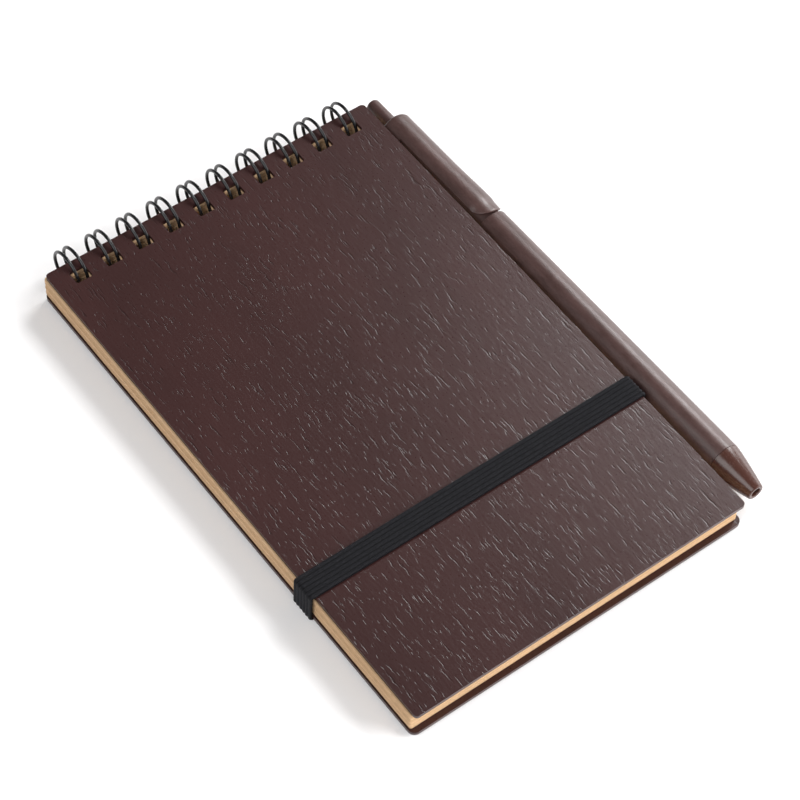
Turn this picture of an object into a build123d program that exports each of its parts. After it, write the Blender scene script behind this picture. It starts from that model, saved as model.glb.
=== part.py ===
from build123d import *
from math import atan, cos, degrees, pi, radians, sin, sqrt
import os

# Pocket sketchbook: two board covers and ten bundles of leaves on a twin-loop wire along the short top
# edge, held shut by an elastic band, with a retractable ball pen lying along its right-hand side.
# Millimetres. +X to the right, +Y towards the wire, +Z up. The origin is the middle of the footprint,
# on the surface the sketchbook lies on.

# ---------------------------------------------------------------- covers and leaves
COVER_WIDTH = 90.0
COVER_LENGTH = 140.0
COVER_THICKNESS = 1.0
FRONT_CORNER = 1.0
BACK_WIDER = 0.6              # the back board is cut a little larger than the front one
BACK_LONGER = 0.3
BACK_THICKNESS = 1.0
BACK_CORNER = 1.7
BACK_SHIFT = -0.4             # the back board sits a little to the left of the front one

LEAF_NARROWER = 0.4           # the leaves are cut a little smaller than the front cover
LEAF_SHORTER = 1.3
LEAF_SHIFT = -0.45
LEAF_CORNER = 0.6
BUNDLES = 10
SHEETS_PER_BUNDLE = 5
SHEET_THICKNESS = 0.104
BUNDLE_GAP = 0.03             # air between neighbouring bundles, and between them and the boards

# ---------------------------------------------------------------- slots and binding wire
LOOP_PITCH = 25.4 / 3         # three loops to the inch, as many as the cover's width takes
SLOT_SIDE_MARGIN = 4.5        # least board left beside the outermost slots
SLOT_WIDTH = 4.2
SLOT_LENGTH = 3.7
SLOT_MARGIN = 2.6             # top edge to the slot
SLOT_CORNER = 0.4
SLOT_CLEARANCE = 0.17         # room for the closed loop outside the slots' near edges
WIRE_RADIUS = 0.4
LOOP_LEG_SPACING = 2.4        # between the two wires of a loop
LOOP_SIDE_PLAY = 0.4          # the wires sit towards the right of their slots
EDGE_TO_AXIS = 0.25           # the loops' centre lies just outside the top edges
FLAT_CLEARANCE = 0.16         # back cover to the flattened foot of the loops
FLAT_BEND = 1.5               # bend between the round of a loop and its foot
RUN_BEND = 1.0                # bend from a leg into the straight run to the next loop
RUN_OFFSET = 0.9              # run line, outwards from the loops' centre
TIP_GAP = 0.2                 # end of a closed loop to the run line
END_STUB = 1.2                # cut end of the wire beyond the last bend

# ---------------------------------------------------------------- elastic band
BAND_WIDTH = 6.4
BAND_THICKNESS = 0.7
BAND_FROM_TOP = 98.7          # top edge to the near edge of the band
BAND_GAP = 0.08
BAND_BEND = 0.2               # inside radius where it turns over an edge

# ---------------------------------------------------------------- pen, along its own axis from the nose
BARREL_RADIUS = 4.3
BARREL_WALL = 1.0
BARREL_LENGTH = 119.3
NOSE_LENGTH = 10.8
NOSE_END_RADIUS = 2.1
NOSE_HOLE_GAP = 0.15          # round the writing point
NOSE_FLOOR = 3.0              # thickness of the nose's end, where the spring stands
NOSE_EDGE = 0.3               # rounding of the nose's end
SPIGOT_LENGTH = 6.0
NECK_WALL = 0.5
NECK_LENGTH = 37.3
NECK_WEB = 4.0                # where the wide bore ends, below the neck's shoulder
FIT_GAP = 0.05                # pieces pressed or screwed together
RUNNING_GAP = 0.1             # pieces that slide or turn in each other
SEAT_GAP = 0.1                # end to end, between pieces that only touch
CAP_LENGTH = 6.0
CAP_WALL = 0.75
CAP_END_WALL = 1.0
CAP_EDGE = 1.0                # rounding of the cap's end
CLIP_LIFT = 0.3               # from the neck to the clip's inner face
CLIP_SIDE_STEP = 0.4          # the clip is this much narrower than the barrel, on each side
CLIP_END_GAP = 1.2            # from the clip's free end to the barrel's shoulder
CLIP_END_CORNER = 3.2
CLIP_AZIMUTH = 22.0           # degrees from straight up, towards the right
BUTTON_RADIUS = 1.8
BUTTON_PROUD = 8.8
BUTTON_DOME = 0.9
BUTTON_SKIRT = 10.0
STROKE = 4.5
SLEEVE_WALL = 0.55
SLEEVE_LENGTH = 24.0
ROTOR_LENGTH = 6.5
ROTOR_RIBS = 4
ROTOR_RIB_WIDTH = 0.9
ROTOR_WALL = 0.25             # round the refill's end
ROTOR_SOCKET = 2.0            # how far the refill stands in the rotor
ROTOR_STEM = 4.0              # how far the rotor's stem reaches into the button
STEM_RADIUS = 1.0
REFILL_RADIUS = 1.5
REFILL_WALL = 0.45
REFILL_FROM_NOSE = 14.0
POINT_RADIUS = 1.0
POINT_CONE = 3.0
POINT_END_RADIUS = 0.5
POINT_RETRACTED = 1.3         # the ball's end, inside the nose
POINT_COLLAR = 2.0
POINT_PLUG = 4.0
BALL_RADIUS = 0.4
INK_LENGTH = 68.0
SPRING_WIRE = 0.2             # radius of its wire
SPRING_INNER_GAP = 0.25       # between the writing point and the spring
SPRING_OUTER_GAP = 0.65       # between the spring and its chamber
SPRING_TURNS = 7

# ---------------------------------------------------------------- where the pen lies
PEN_TO_PAD = 0.3              # least gap to the leaves near the top, and to the band further down
PEN_TOP = 7.2                 # from the sketchbook's top edge to the top of the pen's cap

# ---------------------------------------------------------------- worked out from the sizes above
back_width, back_length = COVER_WIDTH + BACK_WIDER, COVER_LENGTH + BACK_LONGER
leaf_width, leaf_length = COVER_WIDTH - LEAF_NARROWER, COVER_LENGTH - LEAF_SHORTER
bundle_thickness = SHEETS_PER_BUNDLE * SHEET_THICKNESS
leaves_height = BUNDLES * bundle_thickness + (BUNDLES + 1) * BUNDLE_GAP
pad_thickness = BACK_THICKNESS + leaves_height + COVER_THICKNESS
flat_drop = pad_thickness / 2 + FLAT_CLEARANCE + WIRE_RADIUS      # loops' centre to the foot's middle
axis_z = flat_drop + WIRE_RADIUS
back_z = axis_z - pad_thickness / 2
leaves_z = back_z + BACK_THICKNESS
front_z = leaves_z + leaves_height
top_z = front_z + COVER_THICKNESS

loops = int((COVER_WIDTH - 2 * SLOT_SIDE_MARGIN - SLOT_WIDTH) / LOOP_PITCH) + 1
slot_reach = SLOT_MARGIN + EDGE_TO_AXIS + SLOT_CLEARANCE
loop_radius = round(WIRE_RADIUS + sqrt((pad_thickness / 2) ** 2 + slot_reach**2), 2)

barrel_bore = BARREL_RADIUS - BARREL_WALL
neck_radius = BARREL_RADIUS - CAP_WALL - FIT_GAP
neck_bore = neck_radius - NECK_WALL
sleeve_bore = neck_bore - FIT_GAP - SLEEVE_WALL
clip_inner = neck_radius + CLIP_LIFT
clip_width = 2 * (BARREL_RADIUS - CLIP_SIDE_STEP)
nose_hole = POINT_RADIUS + NOSE_HOLE_GAP
refill_bore = REFILL_RADIUS - REFILL_WALL
spring_radius = POINT_RADIUS + SPRING_INNER_GAP + SPRING_WIRE
spring_chamber = spring_radius + SPRING_WIRE + SPRING_OUTER_GAP

left_edge = min(-COVER_WIDTH / 2, BACK_SHIFT - back_width / 2, LEAF_SHIFT - leaf_width / 2)
right_edge = max(COVER_WIDTH / 2, BACK_SHIFT + back_width / 2, LEAF_SHIFT + leaf_width / 2)


def pen_beside(edge, low, high):
    """How far right the pen's axis must be to clear a plate with this edge, between these heights."""
    drop = max(low - BARREL_RADIUS, BARREL_RADIUS - high, 0.0)
    return edge + PEN_TO_PAD + sqrt(max(BARREL_RADIUS**2 - drop**2, 0.0))


# The top of the pen lies against the pad and its side against the band, so it lies a little askew.
pen_x_top = max(
    pen_beside(BACK_SHIFT + back_width / 2, back_z, leaves_z),
    pen_beside(LEAF_SHIFT + leaf_width / 2, leaves_z, front_z),
    pen_beside(COVER_WIDTH / 2, front_z, top_z),
)
band_right = right_edge + BAND_GAP + BAND_THICKNESS
pen_x_band = max(band_right + PEN_TO_PAD + BARREL_RADIUS, pen_x_top)
band_middle = BAND_FROM_TOP + BAND_WIDTH / 2
pen_skew = atan((pen_x_band - pen_x_top) / (band_middle - PEN_TOP))      # radians
pen_x_shoulder = pen_x_top + BARREL_LENGTH * sin(pen_skew)

# Middle of the footprint, measured from the middle of the front cover's top edge.
foot_left = left_edge - BAND_GAP - BAND_THICKNESS
foot_right = pen_x_shoulder + BARREL_RADIUS * cos(pen_skew)
foot_back = max(EDGE_TO_AXIS + loop_radius + WIRE_RADIUS, BUTTON_PROUD - PEN_TOP)
foot_front = -max(COVER_LENGTH, back_length, PEN_TOP + BARREL_LENGTH + NOSE_LENGTH)
edge_x = -(foot_left + foot_right) / 2
edge_y = -(foot_back + foot_front) / 2
axis_y = edge_y + EDGE_TO_AXIS


# ---------------------------------------------------------------- the bound pad
def slot_centres():
    """Middle of each slot, left to right, in x."""
    return [edge_x + (i - (loops - 1) / 2) * LOOP_PITCH for i in range(loops)]


def plate(width, length, thickness, corner, shift, bottom):
    """A board or a bundle of leaves: a rounded sheet whose top edge lies on the binding edge."""
    outline = Pos(edge_x + shift, edge_y - length / 2) * RectangleRounded(width, length, corner)
    slot_y = edge_y - SLOT_MARGIN - SLOT_LENGTH / 2
    for x in slot_centres():
        outline -= Pos(x, slot_y) * RectangleRounded(SLOT_WIDTH, SLOT_LENGTH, SLOT_CORNER)
    return Pos(0, 0, bottom) * extrude(outline, thickness)


def leg_points(x, start_y, end_y):
    """The places along one leg of a loop, in its own upright plane: foot, bend, round, bend, foot."""
    rise = FLAT_BEND - flat_drop
    reach = sqrt((loop_radius - FLAT_BEND) ** 2 - rise**2)
    scale = loop_radius / (loop_radius - FLAT_BEND)
    half_turn = (pi / 2 - atan(-rise / reach)) / 2
    bend_y, bend_z = reach + FLAT_BEND * sin(half_turn), rise - FLAT_BEND * cos(half_turn)

    def at(y, z):
        return Vector(x, axis_y + y, axis_z + z)

    return (
        [at(start_y, -flat_drop), at(reach, -flat_drop), at(bend_y, bend_z)],
        [at(reach * scale, rise * scale), at(0, loop_radius), at(-reach * scale, rise * scale)],
        [at(-bend_y, bend_z), at(-reach, -flat_drop), at(end_y, -flat_drop)],
    )


def leg_edges(x, start_y, end_y, outwards=True):
    """The leg as edges, from the run line to the tip, or back from the tip to the run line."""
    (start, foot, bend), (rise, top, fall), (bend_in, foot_in, end) = leg_points(x, start_y, end_y)
    if outwards:
        return [Line(start, foot), ThreePointArc(foot, bend, rise), ThreePointArc(rise, top, fall),
                ThreePointArc(fall, bend_in, foot_in), Line(foot_in, end)]
    return [Line(end, foot_in), ThreePointArc(foot_in, bend_in, fall), ThreePointArc(fall, top, rise),
            ThreePointArc(rise, bend, foot), Line(foot, start)]


def binding_wire():
    """One continuous wire: round each loop to its closed tip, back again, and on to the next loop."""
    half = LOOP_LEG_SPACING / 2
    foot_z = axis_z - flat_drop
    run_y = axis_y + RUN_OFFSET
    leg_y = RUN_OFFSET + RUN_BEND
    tip_y = RUN_OFFSET - TIP_GAP - half
    inset = RUN_BEND * (1 - sqrt(0.5))
    edges, last = [], None
    for centre in slot_centres():
        x = centre + LOOP_SIDE_PLAY
        left, right = x - half, x + half
        first = Vector(left - RUN_BEND, run_y, foot_z)
        edges.append(Line(last if last else first - Vector(END_STUB, 0, 0), first))
        edges.append(ThreePointArc(first, Vector(left - inset, run_y + inset, foot_z),
                                   Vector(left, axis_y + leg_y, foot_z)))
        edges += leg_edges(left, leg_y, tip_y)
        edges.append(ThreePointArc(Vector(left, axis_y + tip_y, foot_z),
                                   Vector(x, axis_y + tip_y + half, foot_z),
                                   Vector(right, axis_y + tip_y, foot_z)))
        edges += leg_edges(right, leg_y, tip_y, outwards=False)
        last = Vector(right + RUN_BEND, run_y, foot_z)
        edges.append(ThreePointArc(Vector(right, axis_y + leg_y, foot_z),
                                   Vector(right + inset, run_y + inset, foot_z), last))
    edges.append(Line(last, last + Vector(END_STUB, 0, 0)))
    path = Wire(edges)
    wire = sweep(Plane(path @ 0, z_dir=path % 0) * Circle(WIRE_RADIUS), path)
    expected = pi * WIRE_RADIUS**2 * path.length
    print("binding wire", round(path.length, 1), "mm long, volume over section times length",
          round(wire.volume / expected, 4))
    return wire


def closure_band():
    """A flat closed loop round the pad, its inner face against the covers' edges."""
    inside_left, inside_right = left_edge - BAND_GAP, right_edge + BAND_GAP
    inside_low, inside_high = back_z - BAND_GAP, top_z + BAND_GAP
    width, height = inside_right - inside_left, inside_high - inside_low
    outline = RectangleRounded(width + 2 * BAND_THICKNESS, height + 2 * BAND_THICKNESS,
                               BAND_BEND + BAND_THICKNESS)
    outline -= RectangleRounded(width, height, BAND_BEND)
    middle = Plane(
        (edge_x + (inside_left + inside_right) / 2, edge_y - band_middle, (inside_low + inside_high) / 2),
        x_dir=(1, 0, 0), z_dir=(0, -1, 0),
    )
    return extrude(middle * outline, BAND_WIDTH / 2, both=True)


# ---------------------------------------------------------------- the pen, standing on its nose
# Here z is the distance from the end of the nose along the pen, and x points to the clip.
cap_top = NOSE_LENGTH + BARREL_LENGTH
shoulder = cap_top - NECK_LENGTH
neck_top = cap_top - CAP_END_WALL - SEAT_GAP
cap_low = cap_top - CAP_LENGTH
clip_end = shoulder + CLIP_END_GAP
skirt_low = neck_top - SEAT_GAP - BUTTON_SKIRT
rotor_top = skirt_low - SEAT_GAP
rotor_low = rotor_top - ROTOR_LENGTH
collar_top = REFILL_FROM_NOSE - SEAT_GAP
collar_low = collar_top - POINT_COLLAR


def rod(radius, low, high):
    """A plain cylinder on the pen's axis."""
    return Pos(0, 0, low) * Cylinder(radius, high - low, align=(Align.CENTER, Align.CENTER, Align.MIN))


def tube(inner, outer, low, high):
    """A plain tube on the pen's axis."""
    return rod(outer, low, high) - rod(inner, low, high)


def pen_barrel():
    """The wide barrel, with a neck at its top under the clip."""
    step = shoulder - NECK_WEB
    body = rod(BARREL_RADIUS, NOSE_LENGTH + SEAT_GAP, shoulder) + rod(neck_radius, shoulder, neck_top)
    return body - rod(barrel_bore, NOSE_LENGTH + SEAT_GAP, step) - rod(neck_bore, step, neck_top)


def pen_nose_cone():
    """A hollow pointed cone that screws into the barrel and holds the spring."""
    side = TangentArc((BARREL_RADIUS, NOSE_LENGTH), (NOSE_END_RADIUS, NOSE_EDGE), tangent=(0, -1))
    edge = ThreePointArc(
        (NOSE_END_RADIUS, NOSE_EDGE),
        (NOSE_END_RADIUS - NOSE_EDGE * (1 - sqrt(0.5)), NOSE_EDGE * (1 - sqrt(0.5))),
        (NOSE_END_RADIUS - NOSE_EDGE, 0),
    )
    inside = Polyline((NOSE_END_RADIUS - NOSE_EDGE, 0), (0, 0), (0, NOSE_LENGTH),
                      (BARREL_RADIUS, NOSE_LENGTH))
    profile = Plane.XZ * make_face(side + edge + inside)
    cone = revolve(profile, Axis.Z) + rod(barrel_bore - FIT_GAP, NOSE_LENGTH, NOSE_LENGTH + SPIGOT_LENGTH)
    cone -= rod(nose_hole, 0, NOSE_LENGTH)
    return cone - rod(spring_chamber, NOSE_FLOOR, NOSE_LENGTH + SPIGOT_LENGTH)


def pen_clip_cap():
    """The cap over the neck's top, with the clip as a tongue down one side of it."""
    cap = rod(BARREL_RADIUS, cap_low, cap_top)
    cap = fillet(cap.edges().group_by(Axis.Z)[-1], CAP_EDGE)
    high = cap_low + CAP_LENGTH / 2 + CLIP_END_CORNER
    outline = RectangleRounded(clip_width, high - clip_end, CLIP_END_CORNER)
    face = Plane((0, 0, (clip_end + high) / 2), x_dir=(0, 1, 0), z_dir=(1, 0, 0)) * outline
    tongue = extrude(face, BARREL_RADIUS) & tube(clip_inner, BARREL_RADIUS, clip_end, cap_low + CAP_EDGE)
    nib = Pos(clip_inner, 0, clip_end + CLIP_END_CORNER) * Sphere(clip_inner - neck_radius - FIT_GAP)
    cap = cap + tongue + nib
    cap -= rod(neck_radius + FIT_GAP, cap_low, cap_top - CAP_END_WALL)
    return cap - rod(BUTTON_RADIUS + RUNNING_GAP, cap_low, cap_top)


def pen_push_button():
    """The domed button with a wider skirt that keeps it in the cap."""
    top = cap_top + BUTTON_PROUD
    button = rod(BUTTON_RADIUS, neck_top - SEAT_GAP, top)
    button = fillet(button.edges().group_by(Axis.Z)[-1], BUTTON_DOME)
    skirt = rod(sleeve_bore - RUNNING_GAP, skirt_low, neck_top - SEAT_GAP)
    well = rod(STEM_RADIUS + RUNNING_GAP, skirt_low, rotor_top + ROTOR_STEM + SEAT_GAP)
    return button + skirt - well


def pen_cam_sleeve():
    """The guide sleeve that the button's skirt and the rotor run in."""
    return tube(sleeve_bore, neck_bore - FIT_GAP, neck_top - SLEEVE_LENGTH, neck_top)


def pen_rotor():
    """The ribbed rotor between the button and the refill."""
    rotor = rod(REFILL_RADIUS + FIT_GAP + ROTOR_WALL, rotor_low, rotor_top)
    rib = Pos(0, 0, (rotor_low + rotor_top) / 2) * Box(
        2 * (sleeve_bore - RUNNING_GAP), ROTOR_RIB_WIDTH, rotor_top - rotor_low)
    for i in range(ROTOR_RIBS // 2):
        rotor += Rot(0, 0, i * 360 / ROTOR_RIBS) * rib
    rotor &= rod(sleeve_bore - RUNNING_GAP, rotor_low, rotor_top)
    rotor += rod(STEM_RADIUS, rotor_low + ROTOR_SOCKET, rotor_top + ROTOR_STEM)
    return rotor - rod(REFILL_RADIUS + FIT_GAP, rotor_low, rotor_low + ROTOR_SOCKET)


def refill_tube():
    """The refill's plastic tube."""
    return tube(refill_bore, REFILL_RADIUS, REFILL_FROM_NOSE, rotor_low + ROTOR_SOCKET - SEAT_GAP)


def refill_ink():
    """The column of ink in the tube."""
    low = REFILL_FROM_NOSE + POINT_PLUG + SEAT_GAP
    return rod(refill_bore - FIT_GAP, low, low + INK_LENGTH)


def refill_point():
    """The writing point: cone, shaft, a collar for the spring, and a plug in the tube."""
    cone_low = POINT_RETRACTED + BALL_RADIUS
    cone = Pos(0, 0, cone_low + POINT_CONE / 2) * Cone(POINT_END_RADIUS, POINT_RADIUS, POINT_CONE)
    point = cone + rod(POINT_RADIUS, cone_low + POINT_CONE, collar_low)
    point += rod(REFILL_RADIUS, collar_low, collar_top)
    point += rod(refill_bore - FIT_GAP, collar_top, REFILL_FROM_NOSE + POINT_PLUG)
    return point - Pos(0, 0, cone_low) * Sphere(BALL_RADIUS + FIT_GAP / 2)


def refill_ball():
    """The ball in the end of the point."""
    return Pos(0, 0, POINT_RETRACTED + BALL_RADIUS) * Sphere(BALL_RADIUS)


def refill_spring():
    """The spring from the nose's floor to the collar."""
    low, high = NOSE_FLOOR + SEAT_GAP + SPRING_WIRE, collar_low - SEAT_GAP - SPRING_WIRE
    path = Pos(0, 0, low) * Helix((high - low) / SPRING_TURNS, high - low, spring_radius)
    section = Plane(path @ 0, z_dir=path % 0) * Circle(SPRING_WIRE)
    return sweep(section, path, is_frenet=True)


# ---------------------------------------------------------------- where the pen lies
along = Vector(-sin(pen_skew), cos(pen_skew), 0)             # from the nose towards the button
across = Vector(cos(pen_skew), sin(pen_skew), 0)
to_clip = Vector(0, 0, 1) * cos(radians(CLIP_AZIMUTH)) + across * sin(radians(CLIP_AZIMUTH))
cap_end = Vector(edge_x + pen_x_top, edge_y - PEN_TOP, BARREL_RADIUS)
pen_place = Plane(cap_end - along * cap_top, x_dir=to_clip, z_dir=along)

parts = {
    "back_cover": plate(back_width, back_length, BACK_THICKNESS, BACK_CORNER, BACK_SHIFT, back_z),
    "front_cover": plate(COVER_WIDTH, COVER_LENGTH, COVER_THICKNESS, FRONT_CORNER, 0, front_z),
    "binding_wire": binding_wire(),
    "closure_band": closure_band(),
}
for number in range(BUNDLES):
    down = (number + 1) * (bundle_thickness + BUNDLE_GAP)
    parts[f"leaf_bundle_{number + 1:02d}"] = plate(
        leaf_width, leaf_length, bundle_thickness, LEAF_CORNER, LEAF_SHIFT, front_z - down)
for make in (pen_barrel, pen_nose_cone, pen_clip_cap, pen_push_button, pen_cam_sleeve, pen_rotor,
             refill_tube, refill_ink, refill_point, refill_ball, refill_spring):
    parts[make.__name__] = pen_place.location * make()

os.makedirs("parts", exist_ok=True)
for name, shape in parts.items():
    export_step(shape, f"parts/{name}.step")

print("back cover underside at z", round(back_z, 3), "front cover top at z", round(top_z, 3))
print("loop axis y, z", round(axis_y, 4), round(axis_z, 4), "top edges y", round(edge_y, 4))
print("front cover middle x", round(edge_x, 4))
print("pen direction", [round(v, 6) for v in along], "nose end", [round(v, 4) for v in pen_place.origin])
print("stroke", STROKE)
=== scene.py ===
# %% [markdown]
# # A pocket sketchbook with its pen
# The CAD model gives every solid its size and place. This script loads it as a fixed frame and adds what
# the eye looks for: single sheets in the bundles, a round smooth wire, a ribbed elastic, the embossed
# boards and the finish of the pen. Lengths are in metres, and MM turns millimetres into them.

import math
import random

import bmesh
import bpy
from mathutils import Matrix, Vector


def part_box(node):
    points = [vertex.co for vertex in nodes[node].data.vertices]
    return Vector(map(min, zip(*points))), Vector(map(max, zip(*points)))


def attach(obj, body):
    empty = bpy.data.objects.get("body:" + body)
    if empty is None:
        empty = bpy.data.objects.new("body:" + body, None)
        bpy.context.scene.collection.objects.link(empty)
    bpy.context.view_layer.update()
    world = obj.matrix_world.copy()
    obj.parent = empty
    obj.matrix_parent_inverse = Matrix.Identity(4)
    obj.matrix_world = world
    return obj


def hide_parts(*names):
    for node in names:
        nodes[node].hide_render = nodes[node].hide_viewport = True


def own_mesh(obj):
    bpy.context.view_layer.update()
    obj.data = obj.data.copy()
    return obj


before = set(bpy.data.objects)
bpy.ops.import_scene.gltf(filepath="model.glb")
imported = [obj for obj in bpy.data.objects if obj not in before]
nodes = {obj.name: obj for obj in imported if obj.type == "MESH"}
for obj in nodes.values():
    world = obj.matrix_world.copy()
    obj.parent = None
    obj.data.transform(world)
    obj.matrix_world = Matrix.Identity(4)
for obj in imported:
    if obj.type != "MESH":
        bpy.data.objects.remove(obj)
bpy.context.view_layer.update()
MM = 0.001

# %% [markdown]
# ## Camera
# The pad is seen from its lower left, from about 55 degrees up, with a long lens, so that its edges stay
# almost parallel. A camera looks along its own -Z, and its turn is three angles about X, Y and Z.

# %% Camera
camera = bpy.data.objects.new("camera", bpy.data.cameras.new("camera"))
bpy.context.scene.collection.objects.link(camera)
camera.location = (-0.23238, -0.27751, 0.50982)
camera.rotation_euler = [math.radians(a) for a in (35.1431, -2.2950, -36.9242)]
camera.data.sensor_width = 36
camera.data.lens = 124.73
camera.data.clip_start = 0.01
bpy.context.scene.camera = camera
print("camera lens", camera.data.lens)

# %% [markdown]
# ## Floor and light
# A white floor runs far behind the pad, as a sheet of studio paper does. A wide lamp at the front right
# lights the front edge of the paper and makes the soft shadow on the left. A second one stands a little
# to the right of where the cover mirrors the camera's view, so only the cover's right side shows its
# sheen, and the walls of the embossed strokes catch it too. A long low one on the right draws the streak
# along the pen, and two more fill the shadows. The two at the front light the pad but are kept out of its
# gloss, or the cover would be a white mirror from behind. Behind everything the air is white.

# %% Lamp and floor helpers
def area_lamp(name, place, target, width, height, power, glossy=True, colour=(1, 1, 1)):
    """A rectangular lamp at a place, facing a target."""
    lamp = bpy.data.lights.new(name, "AREA")
    lamp.shape, lamp.size, lamp.size_y, lamp.energy, lamp.color = "RECTANGLE", width, height, power, colour
    holder = bpy.data.objects.new(name, lamp)
    bpy.context.scene.collection.objects.link(holder)
    holder.location = place
    holder.rotation_euler = (Vector(target) - Vector(place)).to_track_quat("-Z", "Y").to_euler()
    holder.visible_glossy = glossy
    return holder


FLOOR_REACH = 6


def stage_floor():
    """A large plane under the pad."""
    bm = bmesh.new()
    bmesh.ops.create_grid(bm, x_segments=1, y_segments=1, size=FLOOR_REACH)
    mesh = bpy.data.meshes.new("studio_floor")
    bm.to_mesh(mesh)
    bm.free()
    return bpy.data.objects.new("studio_floor", mesh)


print("floor reach in metres", FLOOR_REACH)

# %% [markdown]
# Each lamp has a place, a width and height, and a power in watts. A small lamp makes a hard shadow and a sharp
# sheen, a large one makes both soft.

# %% Floor and light
AIR_STRENGTH = 0.14
floor = stage_floor()
bpy.context.scene.collection.objects.link(floor)
middle = (0, 0, 0.005)
area_lamp("front_right_softbox", (0.6, -0.66, 0.46), middle, 0.45, 0.45, 8.5, False)
area_lamp("sheen_softbox", (0.716, 0.277, 0.636), middle, 0.44, 0.37, 7.2)
area_lamp("right_card", (1.12, -0.22, 0.25), middle, 1.9, 0.5, 10.5)
area_lamp("left_softbox", (-0.62, -0.2, 0.76), middle, 0.8, 0.6, 5.6)
area_lamp("front_fill", (0.0, -0.95, 0.24), middle, 0.7, 0.4, 4.0, False, (1.0, 0.985, 0.97))
world = bpy.data.worlds.new("studio_air")
world.use_nodes = True
air = world.node_tree.nodes["Background"]
air.inputs["Color"].default_value = (1, 0.985, 0.99, 1)
ray = world.node_tree.nodes.new("ShaderNodeLightPath")
strength = world.node_tree.nodes.new("ShaderNodeMath")
strength.operation = "MAXIMUM"
strength.inputs[1].default_value = AIR_STRENGTH
world.node_tree.links.new(ray.outputs["Is Camera Ray"], strength.inputs[0])
world.node_tree.links.new(strength.outputs[0], air.inputs["Strength"])
bpy.context.scene.world = world
bpy.context.scene.view_settings.view_transform = "Standard"

# %% [markdown]
# ## Making materials
# Each material is a small network of nodes: a pattern on Object coordinates, so it stays put on the piece,
# a ramp that turns the pattern into colour, and a bump that turns it into relief. These helpers add a
# node and join it to the last one, which keeps each recipe to a few lines.

# %% Material helpers
class Finish:
    """A material with one Principled shader, and shortcuts for the nodes that feed it."""

    def __init__(self, name, **fixed):
        self.material = bpy.data.materials.new(name)
        self.material.use_nodes = True
        self.tree = self.material.node_tree
        self.shader = self.tree.nodes["Principled BSDF"]
        for key, value in fixed.items():
            self.shader.inputs[key.replace("_", " ")].default_value = value
        self.place = self.tree.nodes.new("ShaderNodeTexCoord")

    def node(self, kind, settings=None, **inputs):
        """A node of a kind, with plain settings and inputs that are values or other nodes' outputs."""
        made = self.tree.nodes.new("ShaderNode" + kind)
        for key, value in (settings or {}).items():
            setattr(made, key, value)
        for key, value in inputs.items():
            socket = made.inputs[int(key[1:])] if key[1:].isdigit() else made.inputs[key.replace("_", " ")]
            if isinstance(value, bpy.types.NodeSocket):
                self.tree.links.new(value, socket)
            else:
                socket.default_value = value
        return made

    def math(self, operation, a, b=0.0, clamp=False):
        return self.node("Math", {"operation": operation, "use_clamp": clamp}, _0=a, _1=b).outputs[0]

    def stretched(self, scale, turn=(0, 0, 0), start=None):
        """Coordinates in cells of a pattern: one scale for each direction."""
        source = start or self.place.outputs["Object"]
        return self.node("Mapping", _0=source, _2=turn, _3=scale).outputs[0]

    def noise(self, vector, scale=1.0, detail=3.0, roughness=0.5):
        return self.node("TexNoise", Vector=vector, Scale=scale, Detail=detail, Roughness=roughness)

    def ramp(self, factor, stops, interpolation="LINEAR"):
        made = self.node("ValToRGB", Fac=factor)
        made.color_ramp.interpolation = interpolation
        elements = made.color_ramp.elements
        while len(elements) < len(stops):
            elements.new(0.5)
        for element, (position, colour) in zip(elements, stops):
            element.position = position
            element.color = (*colour, 1) if len(colour) == 3 else colour
        return made.outputs["Color"]

    def relief(self, height, depth, strength=1.0, under=None):
        """Bump of a real depth in metres, over another bump if one is given."""
        made = self.node("Bump", Strength=strength, Distance=depth, Height=height)
        if under is not None:
            self.tree.links.new(under, made.inputs["Normal"])
        return made.outputs["Normal"]

    def feed(self, **outputs):
        for key, value in outputs.items():
            self.tree.links.new(value, self.shader.inputs[key.replace("_", " ")])
        return self.material


def grey(value):
    return (value, value, value)


def give(piece, material):
    """Makes a material the only one on a piece."""
    piece.data.materials.clear()
    piece.data.materials.append(material)


print("helpers ready")

# %% [markdown]
# ### White paper under it all
# Studio paper is matt and a little rough. It is lit from behind as well, so it glows a little, which keeps
# the shadow on it pale, and it glows more further out, where the lamps do not reach. A faint noise in its
# brightness keeps it from looking like a cut-out.

# %% Floor finish
paper = Finish("studio_paper", Roughness=0.9, Specular_IOR_Level=0.1, Emission_Color=(1, 0.985, 0.99, 1))
tone = paper.noise(paper.place.outputs["Object"], scale=3.0).outputs["Fac"]
away = paper.node("VectorMath", {"operation": "LENGTH"}, _0=paper.place.outputs["Object"]).outputs["Value"]
glow = paper.ramp(away, [(0.25, grey(0.06)), (0.85, grey(1.0))], "EASE")
give(floor, paper.feed(Base_Color=paper.ramp(tone, [(0, (0.93, 0.925, 0.93)), (1, (0.95, 0.945, 0.95))]),
                       Emission_Strength=glow))
print("floor finish", floor.data.materials[0].name)

# %% [markdown]
# ### Embossed board
# The boards are dark brown card, pressed with a grain of short broken strokes that run along the pad.
# Cutting thousands of strokes as geometry would make a heavy mesh for marks a few hundredths of a millimetre
# deep. A Voronoi pattern does it instead: its cells are stretched many times longer than wide, and the
# middle of each cell becomes one stroke. Each cell's own random value makes its stroke long, short or absent.

# %% One layer of strokes
STROKE_SHARE = 0.2            # cells whose random value is below this have no stroke
STROKE_WALL = 9.0             # how steeply the wall rises, in shares of a cell


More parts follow.
